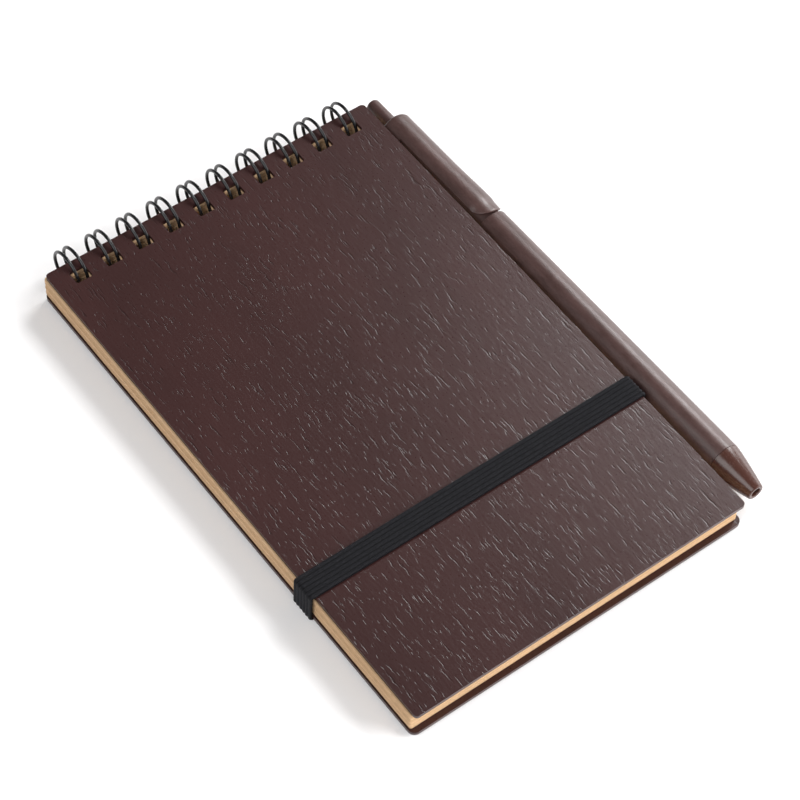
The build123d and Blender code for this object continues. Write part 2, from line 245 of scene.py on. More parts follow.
def stroke_layer(finish, start, cell_width, cell_length, turn, shift, longest):
    """Height from 0 in a stroke to 1 on the plain board."""
    vector = finish.node("VectorMath", {"operation": "ADD"}, _0=start, _1=(shift, shift * 3, 0)).outputs[0]
    vector = finish.stretched((1 / cell_width, 1 / cell_length, 1), (0, 0, math.radians(turn)), vector)
    cells = finish.node("TexVoronoi", {"voronoi_dimensions": "2D"}, Vector=vector, Scale=1.0)
    value = finish.node("SeparateColor", Color=cells.outputs["Color"]).outputs[0]
    reach = finish.math("MULTIPLY", finish.math("SUBTRACT", value, STROKE_SHARE, True), longest)
    inside = finish.math("SUBTRACT", reach, cells.outputs["Distance"])
    return finish.math("SUBTRACT", 1.0, finish.math("MULTIPLY", inside, STROKE_WALL, True))


print("stroke wall", STROKE_WALL)

# %% [markdown]
# Five layers, each turned a little and shifted, hide the rows that one would show. Noise moves the strokes
# sideways, so their edges are ragged. The strokes' walls lean only about ten degrees, which is enough to catch
# a lamp, and their floors have painted shade: the colour is darkened there, where less light gets in. A fine
# skin and long faint creases lie under the strokes, as they do on coated card.

# %% Board finish
STROKE_LAYERS = (             # cell width and length in mm, turn in degrees, shift in metres, longest stroke
    (1.4, 20.0, 2.0, 0.0, 0.2), (1.8, 32.0, -1.5, 0.0137, 0.17), (1.1, 10.0, 4.0, 0.0291, 0.22),
    (0.9, 5.0, -5.0, 0.0431, 0.22), (1.0, 13.0, 1.0, 0.0573, 0.2))
STROKE_DEPTH, CREASE_DEPTH, SKIN_DEPTH = 0.025 * MM, 0.03 * MM, 0.014 * MM
RAGGED = (0.0011, 0.0008, 0)


def board_finish():
    finish = Finish("embossed_board", Roughness=0.3, Specular_IOR_Level=0.4)
    wander = finish.noise(finish.stretched((900, 420, 900)), detail=2.0).outputs["Color"]
    offset = finish.node("VectorMath", {"operation": "SUBTRACT"}, _0=wander, _1=(0.5, 0.5, 0.5)).outputs[0]
    offset = finish.node("VectorMath", {"operation": "MULTIPLY"}, _0=offset, _1=RAGGED).outputs[0]
    start = finish.node("VectorMath", {"operation": "ADD"}, _0=finish.place.outputs["Object"], _1=offset)
    height = None
    for width, length, turn, shift, longest in STROKE_LAYERS:
        layer = stroke_layer(finish, start.outputs[0], width * MM, length * MM, turn, shift, longest)
        height = layer if height is None else finish.math("MINIMUM", height, layer)
    skin = finish.noise(finish.stretched((2600, 1500, 2600)), detail=2.0).outputs["Fac"]
    creases = finish.noise(finish.stretched((1500, 330, 1500)), detail=3.0).outputs["Fac"]
    cloud = finish.noise(finish.stretched((60, 25, 60)), detail=4.0).outputs["Fac"]
    brown = finish.ramp(cloud, [(0.3, (0.031, 0.0115, 0.0108)), (0.7, (0.039, 0.0145, 0.0136))])
    # Painted shade: the colour is darkened to 0.6 in the floor of each stroke, as if less light got in there.
    wear_and_painted_shade = finish.node("MixRGB", {"blend_type": "MULTIPLY"}, Fac=1.0, Color1=brown,
                       Color2=finish.ramp(height, [(0, grey(0.6)), (1, grey(1.0))])).outputs[0]
    gloss = finish.ramp(skin, [(0.2, grey(0.26)), (0.8, grey(0.33))])
    under = finish.relief(creases, CREASE_DEPTH, 0.8, finish.relief(skin, SKIN_DEPTH, 0.5))
    relief = finish.relief(height, STROKE_DEPTH, 1.0, under)
    return finish.feed(Base_Color=wear_and_painted_shade, Roughness=gloss, Normal=relief)


board = board_finish()
print("board finish nodes", len(board.node_tree.nodes))

# %% [markdown]
# ## Boards
# The two boards keep their CAD meshes, because their outlines and slots are exact. A die cuts card with a
# slightly rounded edge, so Weld joins the loose triangles and Bevel rounds every sharp edge by just under a
# tenth of a millimetre. Bevel with an angle limit leaves the flat faces alone.

# %% Boards
EDGE_ROUND = 0.08 * MM
WELD_REACH = 0.001 * MM


def soften_edges(piece, width, segments=2, angle=35):
    """Weld and Bevel, as live modifiers, on a CAD node."""
    weld = piece.modifiers.new("join", "WELD")
    weld.merge_threshold = WELD_REACH
    bevel = piece.modifiers.new("edge", "BEVEL")
    bevel.limit_method, bevel.angle_limit = "ANGLE", math.radians(angle)
    bevel.width, bevel.segments = width, segments
    bevel.harden_normals = False


for name in ("front_cover", "back_cover"):
    give(nodes[name], board)
    soften_edges(nodes[name], EDGE_ROUND)
    print(name, "triangles", len(nodes[name].data.polygons))

# %% [markdown]
# ### Kraft paper
# Unbleached paper is tan, with pale and dark fibres. Three noises give that: one squeezed along Z, so that
# each sheet has a tone of its own, a soft one for faint clouds on a face, and a fine, stretched one for fibres.

# %% Paper finish
kraft = Finish("kraft_paper", Roughness=0.85, Specular_IOR_Level=0.25)
layer = kraft.noise(kraft.stretched((4, 4, 1900)), detail=1.0).outputs["Fac"]
cloud = kraft.noise(kraft.stretched((90, 90, 90)), detail=4.0, roughness=0.6).outputs["Fac"]
layer = kraft.math("ADD", kraft.math("MULTIPLY", layer, 0.86), kraft.math("MULTIPLY", cloud, 0.14))
fibre = kraft.noise(kraft.stretched((5200, 900, 5200)), detail=2.0).outputs["Fac"]
tan = kraft.ramp(layer, [(0.34, (0.53, 0.35, 0.2)), (0.5, (0.65, 0.45, 0.27)),
                         (0.66, (0.74, 0.53, 0.335))])
flecks = kraft.ramp(fibre, [(0.25, grey(0.72)), (0.55, grey(1.0)), (0.8, grey(1.12))])
tan = kraft.node("MixRGB", {"blend_type": "MULTIPLY"}, Fac=0.6, Color1=tan, Color2=flecks).outputs[0]
kraft_paper = kraft.feed(Base_Color=tan, Normal=kraft.relief(fibre, 0.02 * MM, 0.7))
print("paper finish nodes", len(kraft_paper.node_tree.nodes))

# %% [markdown]
# ## Leaves
# In the CAD a bundle of five sheets is one solid. Real sheets show as fine lines along the block's edges,
# because no two lie quite alike. Each bundle's mesh, with its slots, is copied, pressed thin and repeated
# five times, with every sheet a little off in its own way. The random numbers are seeded, so the stack is
# the same every time.

# %% A bundle of loose sheets
SHEETS = 5
SHEET_SHARE = 0.80            # of a sheet's share of the bundle that is paper, the rest is air
SHEET_LIFT = 0.1              # of a sheet's share that lies under it
SHEET_PLAY = 0.16 * MM
chance = random.Random(31)


def loose_sheets(node_name, piece_name, drift):
    """Five thin sheets in the room of one bundle, as one piece."""
    low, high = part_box(node_name)
    pitch = (high.z - low.z) / SHEETS
    sheet = bmesh.new()
    sheet.from_mesh(nodes[node_name].data)
    bmesh.ops.remove_doubles(sheet, verts=sheet.verts, dist=0.001 * MM)
    bmesh.ops.dissolve_limit(sheet, angle_limit=math.radians(1), verts=sheet.verts, edges=sheet.edges)
    bmesh.ops.translate(sheet, verts=sheet.verts, vec=(0, 0, -low.z))
    bmesh.ops.scale(sheet, verts=sheet.verts, vec=(1, 1, SHEET_SHARE / SHEETS))
    first = sheet.verts[:] + sheet.edges[:] + sheet.faces[:]
    stack = [first] + [bmesh.ops.duplicate(sheet, geom=first)["geom"] for _ in range(SHEETS - 1)]
    for level, geometry in enumerate(stack):
        verts = [g for g in geometry if isinstance(g, bmesh.types.BMVert)]
        move = Vector((drift + chance.uniform(-0.6, 0.4) * SHEET_PLAY,
                       chance.uniform(-1, 0.4) * SHEET_PLAY, low.z + (level + SHEET_LIFT) * pitch))
        bmesh.ops.translate(sheet, verts=verts, vec=move)
    mesh = bpy.data.meshes.new(piece_name)
    sheet.to_mesh(mesh)
    sheet.free()
    piece = bpy.data.objects.new(piece_name, mesh)
    bpy.context.scene.collection.objects.link(piece)
    return piece


print("sheets in a bundle", SHEETS)

# %% [markdown]
# Whole bundles drift a little too, as they do once a pad has been leafed through. Each bundle rides on its own
# body, so it turns on its own hinge when the pad is opened.

# %% Leaves
BUNDLES = 10
BUNDLE_DRIFT = 0.1 * MM
for number in range(1, BUNDLES + 1):
    bundle = f"leaf_bundle_{number:02d}"
    drift = chance.uniform(-0.9, 0.5) * BUNDLE_DRIFT
    sheets = loose_sheets(bundle, f"leaf_sheets_{number:02d}", drift)
    give(sheets, kraft_paper)
    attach(sheets, f"leaves_{number:02d}")
    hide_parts(bundle)
print("sheets", SHEETS * BUNDLES, "triangles in one bundle",
      sum(len(f.vertices) - 2 for f in sheets.data.polygons))

# %% [markdown]
# ### Coated wire
# The wire is steel under a black nylon coat: nearly black, smooth, with soft long highlights. A faint noise
# in the roughness breaks them up.

# %% Wire finish
coat = Finish("black_wire_coat", Base_Color=(0.008, 0.008, 0.009, 1), Specular_IOR_Level=0.5)
bloom = coat.noise(coat.stretched((1500, 1500, 1500)), detail=3.0).outputs["Fac"]
wire_coat = coat.feed(Roughness=coat.ramp(bloom, [(0.3, grey(0.16)), (0.7, grey(0.26))]),
                      Normal=coat.relief(bloom, 0.006 * MM, 0.4))
print("wire finish", wire_coat.name)

# %% [markdown]
# ## Binding wire
# One long wire goes round each loop, turns back at its closed tip, goes round again and runs on to the next
# loop. Its thickness, its loops and the small bends at their feet are sizes of their own, and the rest
# follows from where the CAD has the wire and the cover's edge.

# %% Wire sizes
LOOPS = 10
LOOP_PITCH = 25.4 / 3 * MM
WIRE_RADIUS = 0.4 * MM
LOOP_RADIUS = 5.23 * MM
LEG_SPACING = 2.4 * MM
SIDE_PLAY = 0.4 * MM
FLAT_BEND = 1.5 * MM
RUN_BEND = 1.0 * MM
RUN_OFFSET = 0.9 * MM
TIP_GAP = 0.2 * MM
END_STUB = 1.2 * MM
EDGE_TO_AXIS = 0.25 * MM
wire_low, wire_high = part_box("binding_wire")
cover_low, cover_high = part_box("front_cover")
axis_y = cover_high.y + EDGE_TO_AXIS
foot_z = wire_low.z + WIRE_RADIUS
axis_z = wire_high.z - WIRE_RADIUS - LOOP_RADIUS
cover_middle = (cover_low.x + cover_high.x) / 2
print("loop axis in mm, y and z", round(axis_y / MM, 2), round(axis_z / MM, 3))

# %% [markdown]
# The line is drawn as a chain of edges: a straight length is an extruded vertex, and a bend is a spun one, so
# every arc is a true arc. The chain keeps its vertices in order, because a spin does not sort them.

# %% A line that grows
class WireLine:
    """A chain of edges that grows from its last vertex."""

    def __init__(self, start):
        self.bm = bmesh.new()
        self.end = self.bm.verts.new(start)
        self.order = [self.end]

    def straight(self, to):
        made = bmesh.ops.extrude_vert_indiv(self.bm, verts=[self.end])["verts"][0]
        made.co = to
        self.end = made
        self.order.append(made)

    def bend(self, centre, axis, degrees, steps):
        before = len(self.bm.verts)
        self.bm.verts.index_update()
        bmesh.ops.spin(self.bm, geom=[self.end], cent=centre, axis=axis, dvec=(0, 0, 0),
                       angle=math.radians(degrees), steps=steps, use_merge=False, use_normal_flip=False,
                       use_duplicate=False)
        self.bm.verts.ensure_lookup_table()
        fresh = [self.bm.verts[i] for i in range(before, len(self.bm.verts))]
        self.order += fresh
        self.end = fresh[-1]


print("line helper ready")

# %% [markdown]
# Seen from the side a loop is round above and flat below, where it lies under the back board. Its flat foot
# meets the round through a small bend each side. The angles of both follow from their radii, so they meet
# without a kink.

# %% The wire's line
def leg_angles():
    """Half the foot's reach, and how far the round part and the small bend turn, in degrees."""
    rise = FLAT_BEND - (axis_z - foot_z)
    reach = math.sqrt((LOOP_RADIUS - FLAT_BEND) ** 2 - rise**2)
    low_angle = math.degrees(math.atan2(-rise, reach))
    return reach, rise, 180 + 2 * low_angle, 90 - low_angle


def wire_line():
    reach, rise, round_turn, small_turn = leg_angles()
    run_y, half = axis_y + RUN_OFFSET, LEG_SPACING / 2
    tip_y = run_y - TIP_GAP - half
    first_x = cover_middle - (LOOPS - 1) / 2 * LOOP_PITCH + SIDE_PLAY
    line = WireLine((first_x - half - RUN_BEND - END_STUB, run_y, foot_z))
    for number in range(LOOPS):
        x = first_x + number * LOOP_PITCH
        left, right = x - half, x + half
        line.straight((left - RUN_BEND, run_y, foot_z))
        line.bend((left - RUN_BEND, run_y + RUN_BEND, foot_z), (0, 0, 1), 90, 5)
        line.straight((left, axis_y + reach, foot_z))
        line.bend((left, axis_y + reach, foot_z + FLAT_BEND), (1, 0, 0), small_turn, 4)
        line.bend((left, axis_y, axis_z), (1, 0, 0), round_turn, 32)
        line.bend((left, axis_y - reach, foot_z + FLAT_BEND), (1, 0, 0), small_turn, 4)
        line.straight((left, tip_y, foot_z))
        line.bend((x, tip_y, foot_z), (0, 0, -1), 180, 9)
        line.straight((right, axis_y - reach, foot_z))
        line.bend((right, axis_y - reach, foot_z + FLAT_BEND), (-1, 0, 0), small_turn, 4)
        line.bend((right, axis_y, axis_z), (-1, 0, 0), round_turn, 32)
        line.bend((right, axis_y + reach, foot_z + FLAT_BEND), (-1, 0, 0), small_turn, 4)
        line.straight((right, run_y + RUN_BEND, foot_z))
        line.bend((right + RUN_BEND, run_y + RUN_BEND, foot_z), (0, 0, 1), 90, 5)
    line.straight((right + RUN_BEND + END_STUB, run_y, foot_z))
    return line


line = wire_line()
points = [v.co.copy() for v in line.order]
line.bm.free()
print("wire points", len(points), "length in mm",
      round(sum((b - a).length for a, b in zip(points, points[1:])) / MM, 1))

# %% [markdown]
# The chain becomes a curve, whose round bevel gives the wire its thickness. The curve is then turned into a
# mesh, its ends closed, and its normals recalculated after its doubles are merged. The spring in the pen is
# made in the same way, so this is a helper.

# %% A round tube along a line
def curve_tube(name, points, radius, sides):
    """A round tube along points, as a mesh with closed ends."""
    curve = bpy.data.curves.new(name + "_line", "CURVE")
    curve.dimensions, curve.bevel_depth, curve.bevel_resolution = "3D", radius, (sides - 4) // 2
    curve.use_fill_caps = True
    spline = curve.splines.new("POLY")
    spline.points.add(len(points) - 1)
    for point, place in zip(spline.points, points):
        point.co = (*place, 1)
    holder = bpy.data.objects.new(name + "_line", curve)
    bpy.context.scene.collection.objects.link(holder)
    bpy.context.view_layer.update()
    mesh = bpy.data.meshes.new_from_object(holder.evaluated_get(bpy.context.evaluated_depsgraph_get()))
    bpy.data.objects.remove(holder)
    mesh.name = name
    bm = bmesh.new()
    bm.from_mesh(mesh)
    bmesh.ops.remove_doubles(bm, verts=bm.verts, dist=0.0005 * MM)
    bmesh.ops.recalc_face_normals(bm, faces=bm.faces)
    for face in bm.faces:
        face.smooth = len(face.verts) == 4
    bm.to_mesh(mesh)
    bm.free()
    piece = bpy.data.objects.new(name, mesh)
    bpy.context.scene.collection.objects.link(piece)
    return piece


wire = curve_tube("twin_loop_wire", points, WIRE_RADIUS, 14)
give(wire, wire_coat)
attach(wire, "pad_back")
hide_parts("binding_wire")
print("wire faces", len(wire.data.polygons))

# %% [markdown]
# ### Woven elastic
# Rubber cords covered in thread lie side by side, and fine threads cross them. The cords are modelled; the
# threads are a bump on the band's own UV map, which runs along it, so they follow it round the corners.

# %% Elastic finish
elastic = Finish("ribbed_elastic", Roughness=0.75, Specular_IOR_Level=0.18, Sheen_Weight=0.04,
                 Sheen_Roughness=0.4, Sheen_Tint=(0.55, 0.6, 0.75, 1))
band_low, band_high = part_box("closure_band")
RIBS = 6
WEFT_PITCH, WARP_PITCH = 0.42 * MM, 0.25 * MM
along_band = elastic.node("SeparateXYZ", _0=elastic.place.outputs["UV"])
across = elastic.math("MULTIPLY", elastic.math("SUBTRACT", along_band.outputs[1], band_low.y),
                      math.pi * RIBS / (band_high.y - band_low.y))
rib = elastic.math("ABSOLUTE", elastic.math("SINE", across))
weft = elastic.math("SINE", elastic.math("MULTIPLY", along_band.outputs[0], 2 * math.pi / WEFT_PITCH))
warp = elastic.math("SINE", elastic.math("MULTIPLY", along_band.outputs[1], 2 * math.pi / WARP_PITCH))
thread = elastic.math("MULTIPLY", weft, warp)
streaks = elastic.stretched((1300, 3300, 1), start=elastic.place.outputs["UV"])
fuzz = elastic.noise(streaks, detail=3.0).outputs["Fac"]
dark = elastic.ramp(thread, [(0.0, (0.008, 0.008, 0.0095)), (1.0, (0.03, 0.029, 0.036))])
# On the elastic this ramp is wear only: streaky fuzz darkens the threads at random.
wear_and_painted_shade = elastic.ramp(fuzz, [(0.36, grey(0.35)), (0.66, grey(1.0))])
dark = elastic.node("MixRGB", {"blend_type": "MULTIPLY"}, Fac=0.8, Color1=dark, Color2=wear_and_painted_shade).outputs[0]
# Painted shade: the colour in the grooves between the cords is darkened to a tenth, as shade would darken it.
painted_groove_shade = elastic.ramp(rib, [(0.0, grey(0.1)), (0.6, grey(1.0))])
dark = elastic.node("MixRGB", {"blend_type": "MULTIPLY"}, Fac=1.0, Color1=dark, Color2=painted_groove_shade).outputs[0]
woven = elastic.relief(elastic.math("ADD", thread, fuzz), 0.05 * MM, 0.8)
elastic_weave = elastic.feed(Base_Color=dark, Normal=woven)
print("elastic finish nodes", len(elastic_weave.node_tree.nodes))

# %% [markdown]
# ## Elastic band
# The band is a flat loop round the pad. Its cross-section has a rib for each cord, and the whole band is
# that section carried round a rounded rectangle: extruded along each straight and spun round each corner.
# The section's outer side is a row of arches, one for each cord, with its two edges rolled in a little.

# %% Ribbed section
BAND_THICKNESS = 0.7 * MM
BAND_INNER_BEND = 0.2 * MM
RIB_DEPTH = 0.2 * MM
EDGE_ROLL = 0.1 * MM
RIB_STEPS = 6                 # points across one rib
EDGE_STEPS = 3                # points over which the edge rolls in


def band_section(bm, x, z):
    """The ribbed section as a closed ring of vertices, upright at the middle of the underside."""
    width = band_high.y - band_low.y
    steps = RIBS * RIB_STEPS
    ring = []
    for i in range(steps + 1):
        share = i / steps
        wave = abs(math.sin(math.pi * share * RIBS))
        edge = max(0.0, 1 - min(share, 1 - share) * steps / EDGE_STEPS)
        depth = RIB_DEPTH * (1 - wave) + EDGE_ROLL * edge * edge
        ring.append(bm.verts.new((x, band_low.y + width * share, z - depth)))
    for share in (0.985, 0.75, 0.5, 0.25, 0.015):
        ring.append(bm.verts.new((x, band_low.y + width * share, z - BAND_THICKNESS + 0.02 * MM)))
    return [bm.edges.new((a, b)) for a, b in zip(ring, ring[1:] + ring[:1])]


print("ribs", RIBS, "points across", RIBS * RIB_STEPS + 1)

# %% [markdown]
# Two moves carry the section round the pad. Along a straight the ring of edges is extruded and moved, a step at
# a time. At a corner it is spun a quarter turn. The first and last ring meet, and their doubles are merged.

# %% Round the pad
def carry(bm, edges, vec, steps):
    """Extrudes a ring along a straight, in steps."""
    for _ in range(steps):
        made = bmesh.ops.extrude_edge_only(bm, edges=edges)["geom"]
        edges = [g for g in made if isinstance(g, bmesh.types.BMEdge)]
        bmesh.ops.translate(bm, verts=[g for g in made if isinstance(g, bmesh.types.BMVert)],
                            vec=Vector(vec) / steps)
    return edges


def turn_corner(bm, edges, centre, steps=6):
    """Spins a ring a quarter turn about Y."""
    made = bmesh.ops.spin(bm, geom=edges, cent=centre, axis=(0, -1, 0), dvec=(0, 0, 0),
                          angle=math.radians(-90), steps=steps, use_merge=False, use_normal_flip=False,
                          use_duplicate=False)["geom_last"]
    return [g for g in made if isinstance(g, bmesh.types.BMEdge)]


def elastic_band():
    bm = bmesh.new()
    bend = BAND_THICKNESS + BAND_INNER_BEND
    wide = band_high.x - band_low.x - 2 * bend
    tall = band_high.z - band_low.z - 2 * bend
    edges = band_section(bm, band_low.x + bend, band_high.z)
    edges = carry(bm, edges, (wide, 0, 0), 40)
    edges = turn_corner(bm, edges, (band_high.x - bend, 0, band_high.z - bend))
    edges = carry(bm, edges, (0, 0, -tall), 4)
    edges = turn_corner(bm, edges, (band_high.x - bend, 0, band_low.z + bend))
    edges = carry(bm, edges, (-wide, 0, 0), 40)
    edges = turn_corner(bm, edges, (band_low.x + bend, 0, band_low.z + bend))
    edges = carry(bm, edges, (0, 0, tall), 4)
    turn_corner(bm, edges, (band_low.x + bend, 0, band_high.z - bend))
    bmesh.ops.remove_doubles(bm, verts=bm.verts, dist=0.002 * MM)
    bmesh.ops.recalc_face_normals(bm, faces=bm.faces)
    return bm


bm = elastic_band()
print("band faces", len(bm.faces), "open edges", sum(e.is_boundary for e in bm.edges))

# %% [markdown]
# The threads follow the band's own map, so each corner of each face gets its place on the band: how far round
# it is, and how far across.

# %% Elastic band
def band_run(x, z):
    """How far round the band a place is, measured on its outer line."""
    wide, tall = band_high.x - band_low.x, band_high.z - band_low.z
    sides = {"top": (band_high.z - z, x - band_low.x), "right": (band_high.x - x, wide + band_high.z - z),
             "low": (z - band_low.z, wide + tall + band_high.x - x),
             "left": (x - band_low.x, 2 * wide + tall + z - band_low.z)}
    return min(sides.values())[1]


uv = bm.loops.layers.uv.new("UVMap")
for face in bm.faces:
    face.smooth = True
    for loop in face.loops:
        loop[uv].uv = (band_run(loop.vert.co.x, loop.vert.co.z), loop.vert.co.y)
mesh = bpy.data.meshes.new("elastic_band")
bm.to_mesh(mesh)
bm.free()
band = bpy.data.objects.new("elastic_band", mesh)
bpy.context.scene.collection.objects.link(band)
give(band, elastic_weave)
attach(band, "pad_back")
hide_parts("closure_band")
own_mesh(band)
print("band length in mm", round(max(loop.uv.x for loop in mesh.uv_layers[0].data) / MM, 1))

# %% [markdown]
# ## Where the pen lies
# The pen is turned standing on its nose, with its clip towards +X, because a lathe shape is easiest to
# draw about Z. Then one matrix lays it down beside the pad, a little askew, as the CAD has it.

# %% Pen frame
PEN_NOSE = Vector((46.6289, -70.0752, 4.3)) * MM
PEN_ALONG = Vector((-0.015099, 0.999886, 0.0)).normalized()
PEN_CLIP_ANGLE = math.radians(22)
across = PEN_ALONG.cross(Vector((0, 0, 1)))
to_clip = Vector((0, 0, 1)) * math.cos(PEN_CLIP_ANGLE) + across * math.sin(PEN_CLIP_ANGLE)
pen_turn = Matrix((to_clip, PEN_ALONG.cross(to_clip), PEN_ALONG)).transposed()
pen_lies = Matrix.Translation(PEN_NOSE) @ pen_turn.to_4x4()

# %% [markdown]
# A turned piece is a closed ring of points spun right round, like a pot on a wheel. Where the ring touches the
# axis its points fall together and are merged. Every pen piece is finished in the same way: faces smooth,
# sharp edges marked, and the mesh laid beside the pad.

# %% Lathe helpers
def turned(name, profile, segments=96):
    """A closed ring of (radius, height) points in mm, spun round Z, then laid beside the pad."""
    bm = bmesh.new()
    ring = [bm.verts.new((r * MM, 0, z * MM)) for r, z in profile]
    edges = [bm.edges.new((a, b)) for a, b in zip(ring, ring[1:] + ring[:1])
             if a.co.x > 1e-9 or b.co.x > 1e-9]
    bmesh.ops.spin(bm, geom=ring + edges, cent=(0, 0, 0), axis=(0, 0, 1), dvec=(0, 0, 0),
                   angle=2 * math.pi, steps=segments, use_merge=True, use_normal_flip=False, use_duplicate=False)
    bmesh.ops.remove_doubles(bm, verts=bm.verts, dist=0.0005 * MM)
    return finished_pen_piece(bm, name)


def finished_pen_piece(bm, name, smooth_angle=40):
    """Recalculates normals, marks sharp edges, lays the piece down and links it."""
    bmesh.ops.recalc_face_normals(bm, faces=bm.faces)
    bm.transform(pen_lies)
    for face in bm.faces:
        face.smooth = True
    for edge in bm.edges:
        if len(edge.link_faces) == 2 and edge.calc_face_angle() > math.radians(smooth_angle):
            edge.smooth = False
    mesh = bpy.data.meshes.new(name)
    bm.to_mesh(mesh)
    bm.free()
    piece = bpy.data.objects.new(name, mesh)
    bpy.context.scene.collection.objects.link(piece)
    return piece


def rounded(corners, radii, steps=5):
    """A profile's corners, each rounded by its own radius where that is above nothing."""
    out = []
    for i, (corner, radius) in enumerate(zip(corners, radii)):
        here = Vector(corner)
        if radius <= 0:
            out.append(tuple(here))
            continue
        back = (Vector(corners[i - 1]) - here).normalized()
        on = (Vector(corners[(i + 1) % len(corners)]) - here).normalized()
        half = back.angle(on) / 2
        centre = here + (back + on).normalized() * radius / math.sin(half)
        start, end = here + back * radius / math.tan(half), here + on * radius / math.tan(half)
        for k in range(steps + 1):
            spoke = (start - centre).normalized().slerp((end - centre).normalized(), k / steps)
            out.append(tuple(centre + spoke.normalized() * radius))
    return out


print("lathe helpers ready")

# %% [markdown]
# ### Moulded pen
# The pen is moulded from plastic filled with fine plant fibre. Its colour is mottled in streaks along the
# barrel, and its skin is satin, with a softer shine than plain plastic. The nose is the same colour,
# unfilled and glossy.

# %% Pen finish
PEN_ASKEW = math.radians(0.87)


def pen_plastic(name, roughness, streak, low, high):
    """Brown plastic; streak says how strongly the fibres show."""
    finish = Finish(name, Specular_IOR_Level=0.5)
    turn = (0, 0, PEN_ASKEW)
    fibres = finish.noise(finish.stretched((1500, 330, 1500), turn), detail=5.0, roughness=0.6).outputs["Fac"]
    cloud = finish.noise(finish.stretched((420, 110, 420), turn), detail=3.0).outputs["Fac"]
    specks = finish.noise(finish.stretched((2600, 1500, 2600), turn), detail=4.0, roughness=0.7).outputs["Fac"]
    fibres = finish.math("ADD", finish.math("MULTIPLY", fibres, 0.5), finish.math("MULTIPLY", specks, 0.5))
    mixed = finish.math("ADD", finish.math("MULTIPLY", fibres, 0.6), finish.math("MULTIPLY", cloud, 0.4))
    spread = 0.14 / max(streak, 0.1)
    colour = finish.ramp(mixed, [(0.5 - spread, low), (0.5 + spread, high)])
    rough = finish.ramp(fibres, [(0.35, grey(roughness - 0.06)), (0.65, grey(roughness + 0.08))])
    relief = finish.relief(fibres, 0.03 * MM * streak, 0.8)
    return finish.feed(Base_Color=colour, Roughness=rough, Normal=relief)


pen_shell = pen_plastic("pen_shell_plastic", 0.36, 1.0, (0.045, 0.022, 0.019), (0.085, 0.046, 0.042))
pen_gloss = pen_plastic("pen_gloss_plastic", 0.24, 0.25, (0.048, 0.018, 0.012), (0.066, 0.027, 0.021))
print("pen finishes", pen_shell.name, pen_gloss.name)

# %% [markdown]
# ## Barrel
# The barrel is a tube with a narrower neck at its top. Its profile is drawn once, with small rounds where a
# mould has them, and spun.

# %% Barrel
BARREL, NECK = 4.3, 3.5
BORE, NECK_BORE, BORE_SHIFT = 3.3, 3.0, 4
NOSE_LENGTH, BARREL_LENGTH = 10.8, 119.3
CAP_TOP = NOSE_LENGTH + BARREL_LENGTH
SHOULDER = CAP_TOP - 37.3
NECK_TOP = CAP_TOP - 1.1
barrel_profile = rounded(
    [(BARREL, NOSE_LENGTH + 0.1), (BARREL, SHOULDER), (NECK, SHOULDER), (NECK, NECK_TOP),
     (NECK_BORE, NECK_TOP), (NECK_BORE, SHOULDER - BORE_SHIFT), (BORE, SHOULDER - BORE_SHIFT),
     (BORE, NOSE_LENGTH + 0.1)],
    [0.08, 0.15, 0, 0.1, 0, 0, 0, 0])
barrel = turned("pen_barrel_turned", barrel_profile)
give(barrel, pen_shell)
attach(barrel, "pen_case")
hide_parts("pen_barrel")
print("barrel faces", len(barrel.data.polygons))

# %% [markdown]
# ## Nose
# The nose is a hollow cone with almost straight sides and a rounded rim round its hole. It screws into the
# barrel, with a hairline between them.

# %% Nose
NOSE_HOLE, NOSE_END, NOSE_CURVE = 1.15, 2.1, 1.2
NOSE_FLOOR, NOSE_BORE, SCREW, SCREW_TOP = 3.0, 2.3, 3.25, 16.8


def cone_side(steps=12):
    """The side as an arc that leaves the barrel along it and leans in to the tip."""
    out = []
    for i in range(steps + 1):
        t = i / steps
        z = NOSE_LENGTH * (1 - t) + 0.3 * t
        out.append((BARREL - (BARREL - NOSE_END) * t**NOSE_CURVE, z))
    return out


nose_profile = cone_side() + [(2.04, 0.12), (1.88, 0.0), (1.45, 0.0), (1.22, 0.1), (NOSE_HOLE, 0.3),
                              (NOSE_HOLE, NOSE_FLOOR), (NOSE_BORE, NOSE_FLOOR), (NOSE_BORE, SCREW_TOP),
                              (SCREW, SCREW_TOP), (SCREW, NOSE_LENGTH)]
nose = turned("pen_nose_turned", nose_profile)
give(nose, pen_gloss)
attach(nose, "pen_case")
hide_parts("pen_nose_cone")
print("nose faces", len(nose.data.polygons))

# %% [markdown]
# ## Clip cap
# The cap and its clip are one moulding: a cup over the pen's top, whose wall runs on down one side as a
# tongue. A cup as long as the clip is spun first, and everything but the cup's top and the tongue is cut
# away. What is left is the moulding's outer skin, without thickness.

# %% Cap skin
CAP_LOW = CAP_TOP - 6.0
CLIP_END = SHOULDER + 0.55
CLIP_HALF_ANGLE = 65.0        # degrees
CLIP_ROWS = 44
CAP_STEPS = 144               # 2.5 degrees each
CAP_ROUND, CAP_HOLE = 0.9, 1.9


